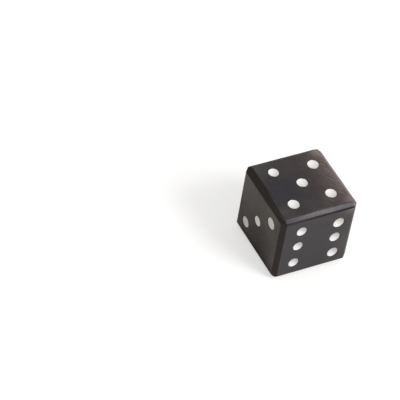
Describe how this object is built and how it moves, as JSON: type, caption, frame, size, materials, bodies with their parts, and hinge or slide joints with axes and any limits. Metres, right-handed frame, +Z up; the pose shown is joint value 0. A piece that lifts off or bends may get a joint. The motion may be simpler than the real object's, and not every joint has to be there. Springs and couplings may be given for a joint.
{
  "type": "gaming die",
  "caption": "Hand-made cubic gaming die of dark horn with filed edges and dished white spots set in drilled pits.",
  "frame": {"origin": "Middle of the face that the die stands on, the face with two spots.", "axes": "+Z up out of the face with five spots, +X out of the face with six, -Y out of the face with three."},
  "size_m": [0.02, 0.0196, 0.0192],
  "materials": {
    "horn": "satin",
    "spot_white": "satin"
  },
  "bodies": {
    "root": {"die_body": "horn", "one_spot": "spot_white", "two_spot_1": "spot_white", "two_spot_2": "spot_white", "three_spot_1": "spot_white", "three_spot_2": "spot_white", "three_spot_3": "spot_white", "four_spot_1": "spot_white", "four_spot_2": "spot_white", "four_spot_3": "spot_white", "four_spot_4": "spot_white", "five_spot_1": "spot_white", "five_spot_2": "spot_white", "five_spot_3": "spot_white", "five_spot_4": "spot_white", "five_spot_5": "spot_white", "six_spot_1": "spot_white", "six_spot_2": "spot_white", "six_spot_3": "spot_white", "six_spot_4": "spot_white", "six_spot_5": "spot_white", "six_spot_6": "spot_white"}
  },
  "joints": []
}
